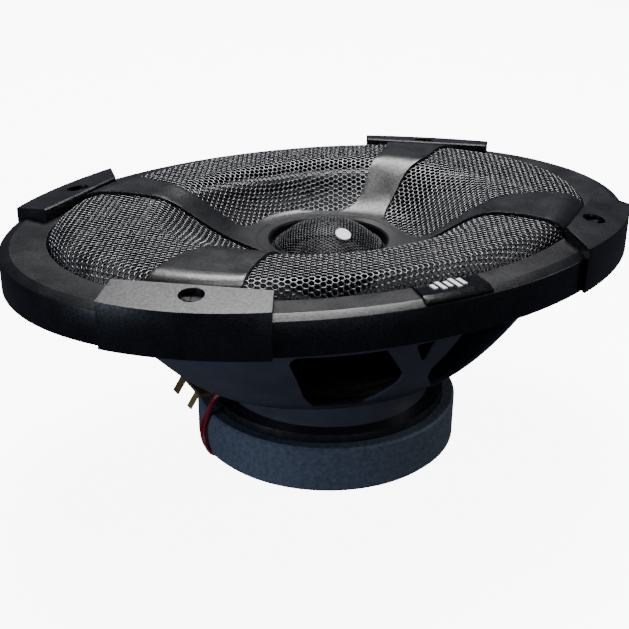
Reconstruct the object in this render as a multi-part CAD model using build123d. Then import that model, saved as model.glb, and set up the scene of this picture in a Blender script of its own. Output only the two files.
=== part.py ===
from build123d import *

import os
from math import asin, cos, degrees, pi, radians, sin, sqrt, tan

os.makedirs("parts", exist_ok=True)

# Oval two-way coaxial car speaker. Millimetres. The origin is the middle of the mounting plane (the rear
# face of the basket flange), +Z points out of the front of the speaker and +X runs along the oval.

GAP = 0.05                  # fit gap between neighbouring pieces

# Trim ring: an oval channel that hides the basket flange
RING_X = 118.0              # half length of the outline
RING_Y = 85.2               # half width of the outline
RING_WALL = 2.2
RING_TOP = 13.0
RING_CHAMFER_RUN = 3.6
RING_CHAMFER_DROP = 1.3
OPENING_X = 102.0           # half length of the ring's opening
OPENING_Y = 72.6

# Mounting holes on a rectangle
HOLE_SPACING_X = 152.4
HOLE_SPACING_Y = 111.0
HOLE_R = 2.4
BOSS_R = 3.3
BOSS_HEAD_R = 5.2
BOSS_HEAD_Z = 6.5           # where a boss widens below the screw head's recess
COUNTERBORE_R = 4.0
COUNTERBORE_FLOOR = 8.5

# Corner caps that stand over the ring at the mounting holes
CAP_ANGLE = 36.6            # slope of a cap across the corner
CAP_INSIDE = 6.2            # from the hole to the cap's inner edge
CAP_OUTSIDE = 16.0          # from the hole to beyond the outline
CAP_WALL = 1.8
CAP_INNER_TOP = 17.6
CAP_OUTER_TOP = 14.9

# Dished grille: height over the mounting plane against the fraction u from hub (0) to opening (1)
DISH_R = 26.0               # round inner edge at the hub
DISH_FLOOR = 2.2
DISH_CREST = 17.5
DISH_BOWL_U = 0.57          # where the bowl meets the flat crest
DISH_CREST_U = 0.86         # where the crest turns down to the edge
DISH_EDGE = 12.5
MESH_THICK = 0.8
MESH_CLEARANCE = 0.2        # between the mesh and the swirl frame
ARM_THICK = 1.0

# Hub round the tweeter
HUB_OPENING_R = 21.7
HUB_R = 26.6

# Basket
FLANGE_X = 115.4
FLANGE_Y = 82.6
FLANGE_THICK = 1.5
WALL_THICK = 1.6
PLATFORM_Z = -41.0
PLATFORM_THICK = 1.5
CUP_R = 39.2
CUP_INNER_R = 37.8
BASKET_FLOOR_Z = -54.0
BASKET_FLOOR_THICK = 1.2

# Magnet motor
TOP_PLATE_R = 45.0
TOP_PLATE_THICK = 4.5
GAP_OUTER_R = 20.1
MAGNET_R = 46.8
MAGNET_INNER_R = 24.0
MAGNET_THICK = 10.5
BACK_PLATE_R = 45.5
BACK_PLATE_THICK = 4.2
POLE_R = 18.4
VENT_R = 5.0
BOOT_R = 49.7
BOOT_BOTTOM = -75.0
BOOT_TOP = -57.0

# Voice coil and suspension
FORMER_R = 19.1
FORMER_THICK = 0.35
FORMER_TOP = -33.0
FORMER_BOTTOM = -61.0
WINDING_R = 19.75
WINDING_HEIGHT = 9.5
SPIDER_R = 42.0
SPIDER_WAVES = 4
SPIDER_WAVE_HEIGHT = 1.2
SPIDER_THICK = 0.5

# Cone and surround
CONE_X = 91.0
CONE_Y = 58.2
CONE_TOP = 0.6
CONE_NECK_Z = -35.0
CONE_THICK = 0.8
CONE_LIP = 2.5
ROLL_R = 5.5
SURROUND_THICK = 0.8
SURROUND_EDGE_X = 106.0
SURROUND_EDGE_Y = 73.2
GASKET_THICK = 2.3

# Tweeter on its post
CUP_TWEETER_R = 19.9
CUP_TWEETER_TOP = 0.5
CUP_TWEETER_FLOOR = -14.0
CUP_TWEETER_WALL = 1.5
POST_R = 6.0
POST_BASE_R = 12.0
WIRE_BORE_R = 2.2
TWEETER_COIL_R = 10.4
TWEETER_COIL_TOP = -2.5
TWEETER_PLATE_R = 9.6
TWEETER_GRILLE_BASE_R = 19.2
TWEETER_GRILLE_RISE = 9.0
TWEETER_GRILLE_LIFT = 0.65  # from the cup's top to the foot of the dome
EMBLEM_R = 2.8
EMBLEM_TILT = 25.0          # from the crown towards -Y

# Terminals
TAB_Y = 6.5                 # half of the spacing between the two tabs
TAB_THICK = 0.8
TAB_ROOT_X = -43.5
TAB_BEND_X = -56.3
TAB_REACH = 6.4
TAB_DROP_ANGLE = 57.0
BOARD_OUTER_X = -57.0
BOARD_INNER_X = -40.5
BOARD_HALF_Y = 11.5
BOARD_THICK = 1.5
RIVET_X = -47.0
WIRE_R = 0.65
WIRE_PAIR_HALF = 0.75       # half of the distance between the tweeter's two wires
WIRE_PAIR_Y = -2.4          # where the pair crosses the boot
TINSEL_R = 0.5

# Heights that follow
BASKET_FLOOR_TOP = BASKET_FLOOR_Z + BASKET_FLOOR_THICK
TOP_PLATE_BOTTOM = BASKET_FLOOR_Z - TOP_PLATE_THICK
MAGNET_BOTTOM = TOP_PLATE_BOTTOM - MAGNET_THICK
BACK_PLATE_BOTTOM = MAGNET_BOTTOM - BACK_PLATE_THICK
SURROUND_BOTTOM = FLANGE_THICK
SURROUND_TOP = SURROUND_BOTTOM + SURROUND_THICK
GASKET_TOP = SURROUND_TOP + GASKET_THICK
BOARD_TOP = PLATFORM_Z - PLATFORM_THICK - GAP
BOARD_BOTTOM = BOARD_TOP - BOARD_THICK
HOLES = [(x * HOLE_SPACING_X / 2, y * HOLE_SPACING_Y / 2) for x in (-1, 1) for y in (-1, 1)]


# ---------------------------------------------------------------- shape helpers

def save(shape, node):
    """Write one sub-part to its own STEP file."""
    export_step(shape, f"parts/{node}.step")


def oval_edge(half_x, half_y, z):
    """A closed oval at height z; a circle where the two halves agree."""
    plane = Plane.XY.offset(z)
    if abs(half_x - half_y) < 1e-6:
        return Wire([Edge.make_circle(half_x, plane)])
    return Wire([Edge.make_ellipse(half_x, half_y, plane)])


def oval_hoop(*runs):
    """A closed hoop whose cross-section is a loop of runs. A run is a list of (half_x, half_y, z)
    sections: two give a straight side, more give one smooth side. Each run starts where the last ended."""
    faces = []
    for run in runs:
        wires = [oval_edge(*section) for section in run]
        if len(run) == 2 and run[0][2] == run[1][2]:
            inner, outer = wires if run[0][0] < run[1][0] else wires[::-1]
            faces.append(Face(outer, [inner]))
        else:
            faces += Shell.make_loft(wires, ruled=len(run) == 2).faces()
    return Solid(Shell(faces))


def straight_runs(points):
    """Runs for oval_hoop that join the listed sections with straight sides and close the loop."""
    return [[points[i], points[(i + 1) % len(points)]] for i in range(len(points))]


def disc(radius, low, high):
    return Pos(0, 0, low) * Cylinder(radius, high - low, align=(Align.CENTER, Align.CENTER, Align.MIN))


def ring(outer, inner, low, high):
    return disc(outer, low, high) - disc(inner, low - 1, high + 1)


def turned(points):
    """A solid turned about the Z axis from (radius, z) points."""
    outline = Polyline(*[(r, 0, z) for r, z in points], close=True)
    return revolve(make_face(outline), Axis.Z)


def drill(radius, low, high, x, y):
    return Pos(x, y, 0) * disc(radius, low, high)


def oval_prism(half_x, half_y, low, high):
    face = Plane.XY.offset(low) * Ellipse(half_x, half_y)
    return extrude(face, amount=high - low)


# ---------------------------------------------------------------- grille dish

def dish_height(u):
    """Height of the mesh's face: a round bowl from the hub, a flat crest, then a rounded shoulder."""
    if u <= DISH_BOWL_U:
        return DISH_FLOOR + (DISH_CREST - DISH_FLOOR) * (1 - cos(pi * u / DISH_BOWL_U)) / 2
    if u <= DISH_CREST_U:
        return DISH_CREST
    v = (u - DISH_CREST_U) / (1 - DISH_CREST_U)
    return DISH_CREST - (DISH_CREST - DISH_EDGE) * (1 - sqrt(max(0.0, 1 - v * v)))


def dish_section(u, lift, inset=0.0):
    return (
        DISH_R + u * (OPENING_X - DISH_R) - inset,
        DISH_R + u * (OPENING_Y - DISH_R) - inset,
        dish_height(u) + lift,
    )


def dish_hoop(first_u, last_u, under, over, inset=0.0):
    """A slice of the dish between two fractions and two distances over the mesh's face."""
    bowl = [first_u + (DISH_BOWL_U - first_u) * i / 8 for i in range(9)]
    shoulder_end = (last_u - DISH_CREST_U) / (1 - DISH_CREST_U)
    shoulder = [DISH_CREST_U + (1 - DISH_CREST_U) * shoulder_end * sin(pi / 8 * i) for i in range(5)]
    top_bowl = [dish_section(u, over, inset) for u in bowl]
    top_shoulder = [dish_section(u, over, inset) for u in shoulder]
    low_bowl = [dish_section(u, under, inset) for u in bowl]
    low_shoulder = [dish_section(u, under, inset) for u in shoulder]
    return oval_hoop(
        top_bowl,
        [top_bowl[-1], top_shoulder[0]],
        top_shoulder,
        [top_shoulder[-1], low_shoulder[-1]],
        low_shoulder[::-1],
        [low_shoulder[0], low_bowl[-1]],
        low_bowl[::-1],
        [low_bowl[0], top_bowl[0]],
    )


# ---------------------------------------------------------------- basket

def basket():
    """Stamped basket: flange, bowl with windows, spider platform and magnet cup in one piece."""
    wall = [
        (104.0, 71.5, 0.0),
        (91.0, 69.0, -7.0),
        (84.0, 67.3, -14.0),
        (75.5, 63.5, -23.0),
        (66.0, 56.5, -33.0),
        (53.0, 45.0, PLATFORM_Z - PLATFORM_THICK),
    ]
    inner = [(x - WALL_THICK, y - WALL_THICK, z) for x, y, z in wall]
    inner[0] = (wall[0][0] - WALL_THICK, wall[0][1] - WALL_THICK, FLANGE_THICK)
    inner[-1] = (wall[-1][0] - WALL_THICK, wall[-1][1] - WALL_THICK, PLATFORM_Z)
    corners = [
        inner[-1],
        (CUP_INNER_R, CUP_INNER_R, PLATFORM_Z),
        (CUP_INNER_R, CUP_INNER_R, BASKET_FLOOR_TOP),
        (22.0, 22.0, BASKET_FLOOR_TOP),
        (22.0, 22.0, BASKET_FLOOR_Z),
        (CUP_R, CUP_R, BASKET_FLOOR_Z),
        (CUP_R, CUP_R, PLATFORM_Z - PLATFORM_THICK),
        wall[-1],
    ]
    floor_runs = [[corners[i], corners[i + 1]] for i in range(len(corners) - 1)]
    flange_runs = [
        [wall[0], (FLANGE_X, FLANGE_Y, 0.0)],
        [(FLANGE_X, FLANGE_Y, 0.0), (FLANGE_X, FLANGE_Y, FLANGE_THICK)],
        [(FLANGE_X, FLANGE_Y, FLANGE_THICK), inner[0]],
    ]
    body = oval_hoop(inner, *floor_runs, wall[::-1], *flange_runs)
    for window in basket_windows():
        body -= window
    for x, y in HOLES:
        body -= drill(HOLE_R, -1, FLANGE_THICK + 1, x, y)
    for y in (-TAB_Y, TAB_Y):
        body -= drill(1.25, PLATFORM_Z - PLATFORM_THICK - 1, PLATFORM_Z + 1, RIVET_X, y)
    for x, y in rivet_places():
        body -= drill(1.6, BASKET_FLOOR_Z - 1, BASKET_FLOOR_TOP + 1, x, y)
    return body


def basket_windows():
    """Cutters for the openings in both long sides, mirrored end to end. Points are (x, z)."""
    large = [
        (46.5, -9.8), (14.5, -9.8), (5.3, -22.5), (5.6, -27.0), (13.0, -36.5), (30.5, -36.5), (36.0, -30.0),
    ]
    small = [(-4.6, -9.8), (4.6, -9.8), (0.0, -18.0)]
    mirrored = [(-x, z) for x, z in large]
    cutters = []
    for points, radius in ((large, 2.5), (mirrored, 2.5), (small, 1.0)):
        outline = Plane.XZ * make_face(Polyline(*points, close=True))
        outline = fillet(outline.vertices(), radius)
        for side in (-1, 1):
            cutters.append(extrude(Pos(0, side * 60, 0) * outline, amount=26, both=True))
    return cutters


def rivet_places():
    radius = 31.0
    return [(radius * cos(pi / 4 + k * pi / 2), radius * sin(pi / 4 + k * pi / 2)) for k in range(4)]


def basket_rivets():
    """Four flat rivets that hold the basket's floor to the top plate."""
    rivets = []
    for x, y in rivet_places():
        shank = drill(1.5, BASKET_FLOOR_Z - 3.0, BASKET_FLOOR_TOP, x, y)
        head = drill(3.0, BASKET_FLOOR_TOP, BASKET_FLOOR_TOP + 1.1, x, y)
        rivets.append(shank + head)
    return Compound(rivets)


# ---------------------------------------------------------------- motor

def top_plate():
    plate = ring(TOP_PLATE_R, GAP_OUTER_R, TOP_PLATE_BOTTOM, BASKET_FLOOR_Z)
    for x, y in rivet_places():
        plate -= drill(1.6, BASKET_FLOOR_Z - 3.2, BASKET_FLOOR_Z + 1, x, y)
    return plate


def yoke():
    """Back plate and vented pole piece in one."""
    bevel = 0.8
    return turned([
        (VENT_R, BASKET_FLOOR_Z),
        (POLE_R, BASKET_FLOOR_Z),
        (POLE_R, MAGNET_BOTTOM),
        (BACK_PLATE_R, MAGNET_BOTTOM),
        (BACK_PLATE_R, BACK_PLATE_BOTTOM + bevel),
        (BACK_PLATE_R - bevel, BACK_PLATE_BOTTOM),
        (VENT_R, BACK_PLATE_BOTTOM),
    ])


def magnet_boot():
    """Rubber band round the magnet with a lip at each end and a notch for the tweeter's wires."""
    inner = MAGNET_R + 0.2
    top_lip = TOP_PLATE_R + 0.2
    bottom_lip = 41.0
    body = turned([
        (top_lip, BOOT_TOP),
        (BOOT_R - 0.8, BOOT_TOP),
        (BOOT_R, BOOT_TOP - 0.8),
        (BOOT_R, BOOT_BOTTOM + 1.5),
        (BOOT_R - 1.5, BOOT_BOTTOM),
        (bottom_lip, BOOT_BOTTOM),
        (bottom_lip, BACK_PLATE_BOTTOM - GAP),
        (inner, BACK_PLATE_BOTTOM - GAP),
        (inner, TOP_PLATE_BOTTOM + GAP),
        (top_lip, TOP_PLATE_BOTTOM + GAP),
    ])
    notch = Pos(-46, -3, BOOT_BOTTOM) * Box(14, 4.4, 3.0)
    return body - notch


# ---------------------------------------------------------------- moving system

def voice_coil_winding():
    middle = BASKET_FLOOR_Z - TOP_PLATE_THICK / 2
    half = WINDING_HEIGHT / 2
    return ring(WINDING_R, FORMER_R + GAP, middle - half, middle + half)


def spider():
    """Corrugated fabric disc that centres the coil."""
    inner = FORMER_R + GAP
    outer_flat = CUP_INNER_R - 0.3
    steps = SPIDER_WAVES * 8
    base = PLATFORM_Z + GAP
    top = []
    for i in range(steps + 1):
        radius = inner + 1.5 + (outer_flat - inner - 1.5) * i / steps
        height = SPIDER_WAVE_HEIGHT * (1 - cos(2 * pi * SPIDER_WAVES * i / steps)) / 2
        top.append((radius, base + SPIDER_THICK + height))
    lower = [(r, z - SPIDER_THICK) for r, z in reversed(top)]
    upper = [(inner, base + SPIDER_THICK)] + top + [(SPIDER_R, base + SPIDER_THICK)]
    return turned(upper + [(SPIDER_R, base)] + lower + [(inner, base)])


def cone():
    """Oval paper cone from the round neck to a flat lip under the surround."""
    lip_in = (CONE_X - CONE_LIP, CONE_Y - CONE_LIP)
    neck = FORMER_R + GAP
    low_lip = CONE_TOP
    high_lip = CONE_TOP + CONE_THICK
    return oval_hoop(*straight_runs([
        (neck, neck, CONE_NECK_Z),
        (neck + 1.0, neck + 1.0, CONE_NECK_Z),
        (lip_in[0] + 0.6, lip_in[1] + 0.6, low_lip),
        (CONE_X, CONE_Y, low_lip),
        (CONE_X, CONE_Y, high_lip),
        (*lip_in, high_lip),
        (neck, neck, CONE_NECK_Z + 1.2),
    ]))


def surround():
    """Rubber half roll between the cone's lip and the basket's flange."""
    middle_x = (CONE_X + OPENING_X) / 2
    middle_y = CONE_Y + ROLL_R
    def roll(radius, base):
        sections = []
        for i in range(9):
            out = radius * cos(pi - pi * i / 8)
            sections.append((middle_x + out, middle_y + out, base + radius * sin(pi * i / 8)))
        return sections
    outside = roll(ROLL_R, SURROUND_TOP)
    inside = roll(ROLL_R - SURROUND_THICK, SURROUND_BOTTOM)
    lip = (CONE_X - CONE_LIP, CONE_Y - CONE_LIP)
    edge = (SURROUND_EDGE_X, SURROUND_EDGE_Y)
    return oval_hoop(
        [(*lip, SURROUND_TOP), outside[0]],
        outside,
        [outside[-1], (*edge, SURROUND_TOP)],
        [(*edge, SURROUND_TOP), (*edge, SURROUND_BOTTOM)],
        [(*edge, SURROUND_BOTTOM), inside[-1]],
        inside[::-1],
        [inside[0], (*lip, SURROUND_BOTTOM)],
        [(*lip, SURROUND_BOTTOM), (*lip, SURROUND_TOP)],
    )


def surround_gasket():
    outer = oval_prism(SURROUND_EDGE_X, SURROUND_EDGE_Y, SURROUND_TOP, GASKET_TOP)
    return outer - oval_prism(OPENING_X + 0.4, CONE_Y + 2 * ROLL_R + 0.4, SURROUND_TOP - 1, GASKET_TOP + 1)


# ---------------------------------------------------------------- grille

def grille_ring():
    """Trim ring: outer wall, chamfer, flat top, inner lip that presses the gasket, and four screw bosses."""
    shoulder = RING_TOP - RING_CHAMFER_DROP
    ceiling = RING_TOP - RING_WALL
    lip = 1.6
    body = oval_hoop(*straight_runs([
        (RING_X, RING_Y, 0.0),
        (RING_X, RING_Y, shoulder),
        (RING_X - RING_CHAMFER_RUN, RING_Y - RING_CHAMFER_RUN, RING_TOP),
        (OPENING_X, OPENING_Y, RING_TOP),
        (OPENING_X, OPENING_Y, GASKET_TOP + GAP),
        (OPENING_X + lip, OPENING_Y + lip, GASKET_TOP + GAP),
        (OPENING_X + lip, OPENING_Y + lip, ceiling),
        (RING_X - RING_WALL - 1.5, RING_Y - RING_WALL - 1.5, ceiling),
        (RING_X - RING_WALL, RING_Y - RING_WALL, ceiling - 1.5),
        (RING_X - RING_WALL, RING_Y - RING_WALL, 0.0),
    ]))
    for x, y in HOLES:
        body += drill(BOSS_R, FLANGE_THICK + GAP, RING_TOP - 1, x, y)
        body += drill(BOSS_HEAD_R, BOSS_HEAD_Z, RING_TOP - 1, x, y)
    for x, y in HOLES:
        body -= drill(HOLE_R, 0, RING_TOP + 1, x, y)
        body -= drill(COUNTERBORE_R, COUNTERBORE_FLOOR, RING_TOP + 1, x, y)
    return body


def grille_mesh():
    """Dished mesh sheet under the swirl frame, as a plain sheet."""
    return dish_hoop(0.03, 0.995, -MESH_THICK, 0.0, inset=0.25)


def panel_openings():
    """The four mesh panels between the arms, seen from the front. Each is a curve along the arms and the
    hub, closed far outside the ring."""
    west = [
        (-88.0, -40.0), (-79.2, -35.0), (-72.2, -30.1), (-64.5, -26.3), (-54.5, -24.5), (-42.3, -20.3),
        (-32.5, -13.0), (-28.2, -2.0), (-31.7, 7.0), (-40.4, 15.0), (-49.0, 22.8), (-55.0, 29.0),
        (-61.5, 36.0), (-70.0, 41.8), (-86.0, 46.0),
    ]
    north = [
        (-58.0, 64.0), (-49.5, 47.3), (-40.2, 33.6), (-32.0, 26.8), (-24.0, 22.0), (-13.2, 27.3),
        (-2.9, 30.1), (7.3, 28.7), (16.0, 24.4), (23.0, 23.6), (35.4, 32.5), (46.0, 41.5), (58.0, 55.0),
    ]
    east = [
        (84.0, 40.0), (69.0, 35.8), (58.4, 28.0), (48.3, 24.0), (38.5, 17.6), (29.6, 9.7), (28.2, 0.0),
        (27.9, -10.0), (29.5, -17.6), (37.5, -21.0), (47.0, -23.2), (59.5, -25.4), (69.0, -26.2),
        (77.0, -29.0), (84.5, -38.5),
    ]
    south = [
        (66.0, -61.0), (57.5, -51.9), (53.4, -45.5), (47.2, -40.0), (38.0, -33.5), (29.0, -26.5),
        (21.5, -23.0), (13.2, -27.3), (2.9, -30.1), (-7.3, -28.7), (-16.0, -24.4), (-23.0, -23.6),
        (-35.4, -32.5), (-47.3, -42.4), (-53.0, -48.1), (-62.0, -59.0),
    ]
    outside = {
        "west": [(-130, 60), (-130, -55)],
        "north": [(85, 105), (-80, 105)],
        "east": [(130, -52), (130, 52)],
        "south": [(-85, -105), (90, -105)],
    }
    openings = []
    for name, inner in (("west", west), ("north", north), ("east", east), ("south", south)):
        curve = Spline(*inner)
        closing = Polyline(inner[-1], *outside[name], inner[0])
        openings.append(make_face(Wire([*curve.edges(), *closing.edges()])))
    return openings


def cap_blank(outline):
    """One corner cap, laid over the ring at the +X +Y hole. Its top falls away from the middle. The outline
    is drawn round the hole, with x along the cap towards +X and y outwards."""
    x, y = HOLE_SPACING_X / 2, HOLE_SPACING_Y / 2
    place = Pos(x, y, 0) * Rot(0, 0, -CAP_ANGLE)
    section = Polyline(
        (0, -CAP_INSIDE, 0),
        (0, -CAP_INSIDE, CAP_INNER_TOP - 0.4),
        (0, -CAP_INSIDE + 0.6, CAP_INNER_TOP),
        (0, 12.5, CAP_OUTER_TOP),
        (0, CAP_OUTSIDE, CAP_OUTER_TOP - 1.0),
        (0, CAP_OUTSIDE, 0),
        close=True,
    )
    bar = extrude(make_face(section), amount=50, both=True)
    bar &= extrude(make_face(Polyline(*outline, close=True)), amount=30)
    return (place * bar) & oval_prism(RING_X + CAP_WALL + GAP, RING_Y + CAP_WALL + GAP, -1, 30)


def cap(outline):
    """A cap hollowed where the trim ring and the mesh's shoulder lie, with a hole for the screw's head."""
    shoulder = RING_TOP - RING_CHAMFER_DROP
    ring_space = oval_hoop(*straight_runs([
        (RING_X + GAP, RING_Y + GAP, -1.0),
        (RING_X + GAP, RING_Y + GAP, shoulder + GAP),
        (RING_X - RING_CHAMFER_RUN + GAP, RING_Y - RING_CHAMFER_RUN + GAP, RING_TOP + GAP),
        (OPENING_X - 30, OPENING_Y - 30, RING_TOP + GAP),
        (OPENING_X - 30, OPENING_Y - 30, -1.0),
    ]))
    x, y = HOLE_SPACING_X / 2, HOLE_SPACING_Y / 2
    mesh_space = dish_hoop(0.5, 0.9965, -12.0, MESH_CLEARANCE + 0.5)
    return cap_blank(outline) - ring_space - mesh_space - drill(COUNTERBORE_R, 0, 30, x, y)


def swirl_frame():
    """Hub, four swirling arms and four corner caps, moulded in one."""
    arms = dish_hoop(0.0, 0.998, MESH_CLEARANCE, MESH_CLEARANCE + ARM_THICK)
    foot_in, foot_out = -0.5, 7.0
    arms += oval_hoop(*straight_runs([
        (OPENING_X + foot_in, OPENING_Y + foot_in, RING_TOP + GAP),
        (OPENING_X + foot_out, OPENING_Y + foot_out, RING_TOP + GAP),
        (OPENING_X + foot_out, OPENING_Y + foot_out, RING_TOP + 2.3),
        (OPENING_X + foot_in, OPENING_Y + foot_in, RING_TOP + 1.9),
    ]))
    for opening in panel_openings():
        arms -= extrude(opening, amount=40)
    web = DISH_FLOOR + MESH_CLEARANCE + ARM_THICK
    hub = turned([
        (HUB_OPENING_R, -1.0),
        (HUB_OPENING_R, web - 0.7),
        (HUB_OPENING_R + 0.6, web - 0.1),
        (HUB_R, web - 0.1),
        (HUB_R, web - 0.8),
        (HUB_R - 2.0, 1.0),
        (HUB_R - 3.2, -1.0),
    ])
    body = arms + hub
    even = [(-23.6, -CAP_INSIDE), (26.4, -CAP_INSIDE), (27.8, CAP_OUTSIDE), (-26.8, CAP_OUTSIDE)]
    slanted = [(-15.5, -CAP_INSIDE), (27.0, -CAP_INSIDE), (25.0, CAP_OUTSIDE), (-41.0, CAP_OUTSIDE)]
    first = cap(even)
    second = mirror(cap(slanted), Plane.XZ)
    for corner in (first, second):
        body += corner
        body += Rot(0, 0, 180) * corner
    return body


def badge_plate():
    """Gloss plate on the ring's flat top and chamfer at the near long side."""
    corners = [(-9.3, -67.5), (-13.5, -92.0), (12.0, -92.0), (13.5, -67.5)]
    prism = extrude(make_face(Polyline(*corners, close=True)), amount=20)
    shoulder = RING_TOP - RING_CHAMFER_DROP
    thick = 0.9
    skin = oval_hoop(*straight_runs([
        (RING_X - 0.3, RING_Y - 0.3, shoulder + 0.15 + GAP),
        (RING_X - 0.3, RING_Y - 0.3, shoulder + 0.15 + thick),
        (RING_X - RING_CHAMFER_RUN, RING_Y - RING_CHAMFER_RUN, RING_TOP + thick),
        (OPENING_X + 0.2, OPENING_Y + 0.2, RING_TOP + thick),
        (OPENING_X + 0.2, OPENING_Y + 0.2, RING_TOP + GAP),
        (RING_X - RING_CHAMFER_RUN + GAP, RING_Y - RING_CHAMFER_RUN + GAP, RING_TOP + GAP),
    ]))
    return skin & prism


def badge_emblem():
    """Plain equaliser bars on the badge plate."""
    bars = []
    for k, length in enumerate((3.0, 5.5, 4.0, 6.5, 4.5)):
        bars.append(Pos((k - 2) * 2.6, -77.2, RING_TOP + 0.9 + GAP + 0.2) * Box(1.4, length, 0.4))
    return Compound(bars)


# ---------------------------------------------------------------- tweeter

def tweeter_post():
    """Turned post on the pole piece, bored for the tweeter's wires."""
    low = BASKET_FLOOR_Z + GAP
    high = CUP_TWEETER_FLOOR - GAP
    return turned([
        (WIRE_BORE_R, low - 12.0),
        (VENT_R - GAP, low - 12.0),
        (VENT_R - GAP, low),
        (POST_BASE_R, low),
        (POST_BASE_R, low + 3.0),
        (POST_R, low + 6.0),
        (POST_R, high - 2.0),
        (POST_R + 2.0, high),
        (WIRE_BORE_R, high),
    ])


def tweeter_cup():
    floor = CUP_TWEETER_FLOOR
    inner = CUP_TWEETER_R - CUP_TWEETER_WALL
    return turned([
        (WIRE_BORE_R, floor),
        (CUP_TWEETER_R - 4.0, floor),
        (CUP_TWEETER_R, floor + 4.0),
        (CUP_TWEETER_R, CUP_TWEETER_TOP),
        (inner, CUP_TWEETER_TOP),
        (inner, floor + 4.0),
        (CUP_TWEETER_R - 5.0, floor + 1.5),
        (WIRE_BORE_R, floor + 1.5),
    ])


def tweeter_yoke():
    floor = CUP_TWEETER_FLOOR + 1.5 + GAP
    return turned([
        (WIRE_BORE_R, floor),
        (13.0, floor),
        (13.0, -5.0),
        (11.4, -5.0),
        (11.4, floor + 1.6),
        (WIRE_BORE_R, floor + 1.6),
    ])


def tweeter_magnet():
    floor = CUP_TWEETER_FLOOR + 3.1 + 2 * GAP
    return ring(TWEETER_PLATE_R - 0.4, WIRE_BORE_R, floor, -6.8)


def tweeter_pole_plate():
    return ring(TWEETER_PLATE_R, WIRE_BORE_R, -6.8 + GAP, -5.0)


def tweeter_coil():
    return ring(TWEETER_COIL_R + 0.4, TWEETER_COIL_R - 0.3, TWEETER_COIL_TOP - 5.2, TWEETER_COIL_TOP)


def dome_shell(base_r, rise, base_z, thick):
    """Thin spherical cap standing on a circle of base_r at base_z."""
    sphere_r = (base_r ** 2 + rise ** 2) / (2 * rise)
    half_angle = degrees(asin(base_r / sphere_r))
    top = sphere_r - rise
    outer = CenterArc((0, 0), sphere_r, 90 - half_angle, half_angle)
    inner = CenterArc((0, 0), sphere_r - thick, 90 - half_angle, half_angle)
    edges = [outer, Line(outer @ 1, inner @ 1), inner, Line(inner @ 0, outer @ 0)]
    face = make_face(Plane.XZ * Wire([edge.edge() for edge in edges]))
    return Pos(0, 0, base_z - top) * revolve(face, Axis.Z)


def tweeter_dome():
    """Silk dome with a flat rim that the bezel holds at its edge."""
    base = TWEETER_COIL_TOP + GAP
    rim = ring(14.2, TWEETER_COIL_R - 0.3, base, base + 0.4)
    return dome_shell(TWEETER_COIL_R, 4.0, base + 0.35, 0.4) + rim


def tweeter_bezel():
    """Ring that closes the cup round the dome."""
    inner = CUP_TWEETER_R - CUP_TWEETER_WALL - GAP
    return turned([
        (14.6, -4.6),
        (inner, -4.6),
        (inner, CUP_TWEETER_TOP - GAP),
        (17.6, CUP_TWEETER_TOP - GAP),
        (14.6, -1.0),
    ])


def tweeter_grille():
    """Domed mesh over the tweeter, as a plain sheet, with a rim that stands on the cup."""
    base = CUP_TWEETER_TOP + GAP
    foot = CUP_TWEETER_TOP + TWEETER_GRILLE_LIFT
    rim = ring(CUP_TWEETER_R, TWEETER_GRILLE_BASE_R - 0.9, base, base + 0.9)
    return rim + dome_shell(TWEETER_GRILLE_BASE_R, TWEETER_GRILLE_RISE, foot, 0.8)


def tweeter_emblem():
    """Plain round stud on the near flank of the tweeter's mesh."""
    sphere_r = (TWEETER_GRILLE_BASE_R ** 2 + TWEETER_GRILLE_RISE ** 2) / (2 * TWEETER_GRILLE_RISE)
    centre = CUP_TWEETER_TOP + TWEETER_GRILLE_LIFT + TWEETER_GRILLE_RISE - sphere_r
    return Pos(0, 0, centre) * Rot(EMBLEM_TILT, 0, 0) * disc(EMBLEM_R, sphere_r + GAP, sphere_r + 0.7)


# ---------------------------------------------------------------- wiring

def terminal_board():
    slab = Pos((BOARD_OUTER_X + BOARD_INNER_X) / 2, 0, BOARD_BOTTOM + BOARD_THICK / 2) * Box(
        BOARD_INNER_X - BOARD_OUTER_X, 2 * BOARD_HALF_Y, BOARD_THICK)
    slab -= disc(CUP_R + 0.3, BOARD_BOTTOM - 1, BOARD_TOP + 1)
    for y in (-TAB_Y, TAB_Y):
        slab -= drill(1.25, BOARD_BOTTOM - 1, BOARD_TOP + 1, RIVET_X, y)
    return slab


def terminal(y, width):
    """Flat tab under the board, bent outwards and down."""
    top = BOARD_BOTTOM - GAP
    slope = radians(TAB_DROP_ANGLE)
    bend = (TAB_BEND_X, top)
    tip = (bend[0] - TAB_REACH * cos(slope), bend[1] - TAB_REACH * sin(slope))
    low_tip = (tip[0] + TAB_THICK * sin(slope), tip[1] - TAB_THICK * cos(slope))
    low_bend = (bend[0] + TAB_THICK * tan(slope / 2), top - TAB_THICK)
    points = [(TAB_ROOT_X, top), bend, tip, low_tip, low_bend, (TAB_ROOT_X, top - TAB_THICK)]
    profile = Polyline(*[(x, 0, z) for x, z in points], close=True)
    tab = extrude(Pos(0, y, 0) * make_face(profile), amount=width / 2, both=True)
    return tab - drill(1.25, top - 3, top + 1, RIVET_X, y)


def terminal_rivets():
    """Two tubular rivets through tab, board and basket."""
    low = BOARD_BOTTOM - GAP - TAB_THICK - GAP
    high = PLATFORM_Z + GAP
    rivets = []
    for y in (-TAB_Y, TAB_Y):
        shank = drill(1.2, low, high, RIVET_X, y)
        under_head = drill(2.1, low - 0.7, low, RIVET_X, y)
        top_head = drill(2.1, high, high + 0.6, RIVET_X, y)
        rivets.append(shank + under_head + top_head)
    return Compound(rivets)


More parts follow.
